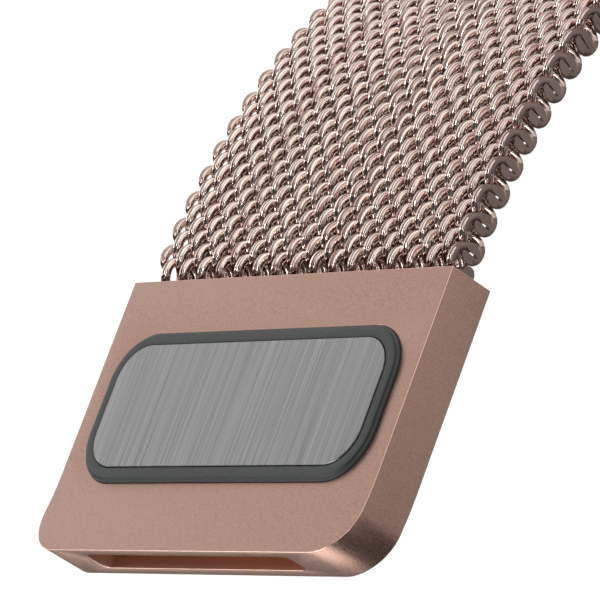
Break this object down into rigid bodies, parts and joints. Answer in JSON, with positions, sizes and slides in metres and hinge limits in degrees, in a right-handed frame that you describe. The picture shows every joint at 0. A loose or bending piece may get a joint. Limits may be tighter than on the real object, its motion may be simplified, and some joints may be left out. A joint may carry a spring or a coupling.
{
  "type": "smartwatch",
  "caption": "Wrist watch with rounded rectangular case, crown and side button, on an open woven-wire band ending in a flat magnetic clasp with a slotted lip.",
  "frame": {"origin": "centre of the flat sensor window in the case back, where the watch meets the wrist", "axes": "+Z out of the display, +Y from the case towards the 12 o'clock lugs, +X towards the crown; the watch stands display up on the flat bottom of its open band loop"},
  "size_m": [0.0413, 0.0828, 0.0624],
  "materials": {
    "rose_gold_case": "bead-blasted satin",
    "rose_gold_trim": "polished",
    "rose_gold_clasp": "bead-blasted satin with polished edges",
    "woven_wire": "polished wire",
    "front_glass": "gloss black",
    "sensor_glass": "gloss black",
    "display": "gloss",
    "dark_polymer": "matte",
    "bezel_rubber": "soft satin",
    "frame_alloy": "matte",
    "circuit_board": "satin",
    "chip_black": "matte",
    "battery_foil": "satin foil",
    "inner_steel": "machined",
    "back_polymer": "satin",
    "gold_contact": "polished",
    "brushed_plate": "brushed"
  },
  "bodies": {
    "case": {"case_body": "rose_gold_case", "front_glass": "front_glass", "display_gasket": "dark_polymer", "display_panel": "display", "mid_frame": "frame_alloy", "main_board": "circuit_board", "board_chips": "chip_black", "battery": "battery_foil", "haptic_motor": "inner_steel", "speaker": "dark_polymer", "back_cover": "back_polymer", "sensor_window": "sensor_glass", "sensor_board": "circuit_board", "charge_contacts": "gold_contact", "case_screws": "inner_steel", "crown_tube": "inner_steel", "crown_switch": "chip_black", "button_switch": "chip_black"},
    "crown_slide": {"crown_clip": "dark_polymer"},
    "crown": {"crown_shaft": "inner_steel", "crown_knob": "rose_gold_trim"},
    "side_button": {"side_button": "rose_gold_trim"},
    "connector_a": {"connector_a": "rose_gold_trim", "bar_tube_a": "inner_steel"},
    "release_a": {"release_pin_a": "inner_steel"},
    "connector_b": {"connector_b": "rose_gold_trim", "bar_tube_b": "inner_steel"},
    "release_b": {"release_pin_b": "inner_steel"},
    "ring": {"buckle_ring": "rose_gold_trim"},
    "mesh_01": {"mesh_01": "woven_wire"},
    "mesh_02": {"mesh_02": "woven_wire"},
    "mesh_03": {"mesh_03": "woven_wire"},
    "mesh_04": {"mesh_04": "woven_wire"},
    "mesh_05": {"mesh_05": "woven_wire"},
    "mesh_06": {"mesh_06": "woven_wire"},
    "mesh_07": {"mesh_07": "woven_wire"},
    "mesh_08": {"mesh_08": "woven_wire"},
    "mesh_09": {"mesh_09": "woven_wire"},
    "mesh_10": {"mesh_10": "woven_wire"},
    "mesh_11": {"mesh_11": "woven_wire"},
    "mesh_12": {"mesh_12": "woven_wire"},
    "mesh_13": {"mesh_13": "woven_wire"},
    "mesh_14": {"mesh_14": "woven_wire"},
    "mesh_15": {"mesh_15": "woven_wire"},
    "mesh_16": {"mesh_16": "woven_wire"},
    "clasp": {"clasp_body": "rose_gold_clasp", "magnet_bezel": "bezel_rubber", "magnet_plate": "brushed_plate", "magnet_blocks": "inner_steel", "end_rod": "inner_steel"}
  },
  "joints": [
    {"name": "crown_press", "type": "slide", "parent": "case", "child": "crown_slide", "axis": [-1, 0, 0], "range_m": [0, 0.0004], "stiffness_N_per_m": 900, "springref_m": -0.0006},
    {"name": "crown_spin", "type": "hinge", "parent": "crown_slide", "child": "crown", "pos_m": [0.0198, 0.008, 0.0049], "axis": [1, 0, 0], "continuous": true},
    {"name": "side_button_press", "type": "slide", "parent": "case", "child": "side_button", "axis": [-1, 0, 0], "range_m": [0, 0.00035], "stiffness_N_per_m": 900, "springref_m": -0.0006},
    {"name": "band_pivot_a", "type": "hinge", "parent": "case", "child": "connector_a", "pos_m": [0, 0.0244, 0.0026], "axis": [1, 0, 0], "range_deg": [0, 60]},
    {"name": "release_a_slide", "type": "slide", "parent": "connector_a", "child": "release_a", "axis": [-1, 0, 0], "range_m": [0, 0.0012], "stiffness_N_per_m": 350, "springref_m": -0.001},
    {"name": "band_pivot_b", "type": "hinge", "parent": "case", "child": "connector_b", "pos_m": [0, -0.0244, 0.0026], "axis": [-1, 0, 0], "range_deg": [0, 70]},
    {"name": "release_b_slide", "type": "slide", "parent": "connector_b", "child": "release_b", "axis": [-1, 0, 0], "range_m": [0, 0.0012], "stiffness_N_per_m": 350, "springref_m": -0.001},
    {"name": "ring_swing", "type": "hinge", "parent": "connector_b", "child": "ring", "pos_m": [0, -0.0244, -0.0014], "axis": [1, 0, 0], "range_deg": [-90, 80]},
    {"name": "mesh_bend_01", "type": "hinge", "parent": "connector_a", "child": "mesh_01", "pos_m": [0, 0.02655, -0.003], "axis": [-1, 0, 0], "range_deg": [-18, 2]},
    {"name": "mesh_bend_02", "type": "hinge", "parent": "mesh_01", "child": "mesh_02", "pos_m": [0, 0.02917, -0.01117], "axis": [-1, 0, 0], "range_deg": [-21, 2]},
    {"name": "mesh_bend_03", "type": "hinge", "parent": "mesh_02", "child": "mesh_03", "pos_m": [0, 0.03068, -0.01961], "axis": [-1, 0, 0], "range_deg": [-24, 2]},
    {"name": "mesh_bend_04", "type": "hinge", "parent": "mesh_03", "child": "mesh_04", "pos_m": [0, 0.03061, -0.02817], "axis": [-1, 0, 0], "range_deg": [-28, 2]},
    {"name": "mesh_bend_05", "type": "hinge", "parent": "mesh_04", "child": "mesh_05", "pos_m": [0, 0.02849, -0.03645], "axis": [-1, 0, 0], "range_deg": [-30, 2]},
    {"name": "mesh_bend_06", "type": "hinge", "parent": "mesh_05", "child": "mesh_06", "pos_m": [0, 0.02388, -0.04363], "axis": [-1, 0, 0], "range_deg": [-30, 3]},
    {"name": "mesh_bend_07", "type": "hinge", "parent": "mesh_06", "child": "mesh_07", "pos_m": [0, 0.01694, -0.04858], "axis": [-1, 0, 0], "range_deg": [-30, 3]},
    {"name": "mesh_bend_08", "type": "hinge", "parent": "mesh_07", "child": "mesh_08", "pos_m": [0, 0.00866, -0.05065], "axis": [-1, 0, 0], "range_deg": [-16, 5]},
    {"name": "mesh_bend_09", "type": "hinge", "parent": "mesh_08", "child": "mesh_09", "pos_m": [0, 0.00008, -0.05095], "axis": [-1, 0, 0], "range_deg": [-12, 7]},
    {"name": "mesh_bend_10", "type": "hinge", "parent": "mesh_09", "child": "mesh_10", "pos_m": [0, -0.0085, -0.05095], "axis": [-1, 0, 0], "range_deg": [-16, 12]},
    {"name": "mesh_bend_11", "type": "hinge", "parent": "mesh_10", "child": "mesh_11", "pos_m": [0, -0.01707, -0.05065], "axis": [-1, 0, 0], "range_deg": [-21, 12]},
    {"name": "mesh_bend_12", "type": "hinge", "parent": "mesh_11", "child": "mesh_12", "pos_m": [0, -0.02555, -0.04939], "axis": [-1, 0, 0], "range_deg": [-30, 13]},
    {"name": "mesh_bend_13", "type": "hinge", "parent": "mesh_12", "child": "mesh_13", "pos_m": [0, -0.03348, -0.0462], "axis": [-1, 0, 0], "range_deg": [-30, 13]},
    {"name": "mesh_bend_14", "type": "hinge", "parent": "mesh_13", "child": "mesh_14", "pos_m": [0, -0.04001, -0.0407], "axis": [-1, 0, 0], "range_deg": [-27, 15]},
    {"name": "mesh_bend_15", "type": "hinge", "parent": "mesh_14", "child": "mesh_15", "pos_m": [0, -0.04469, -0.03354], "axis": [-1, 0, 0], "range_deg": [-26, 15]},
    {"name": "mesh_bend_16", "type": "hinge", "parent": "mesh_15", "child": "mesh_16", "pos_m": [0, -0.04748, -0.02544], "axis": [-1, 0, 0], "range_deg": [-21, 18]},
    {"name": "clasp_bend", "type": "hinge", "parent": "mesh_16", "child": "clasp", "pos_m": [0, -0.04865, -0.01695], "axis": [-1, 0, 0], "range_deg": [-20, 19]}
  ]
}
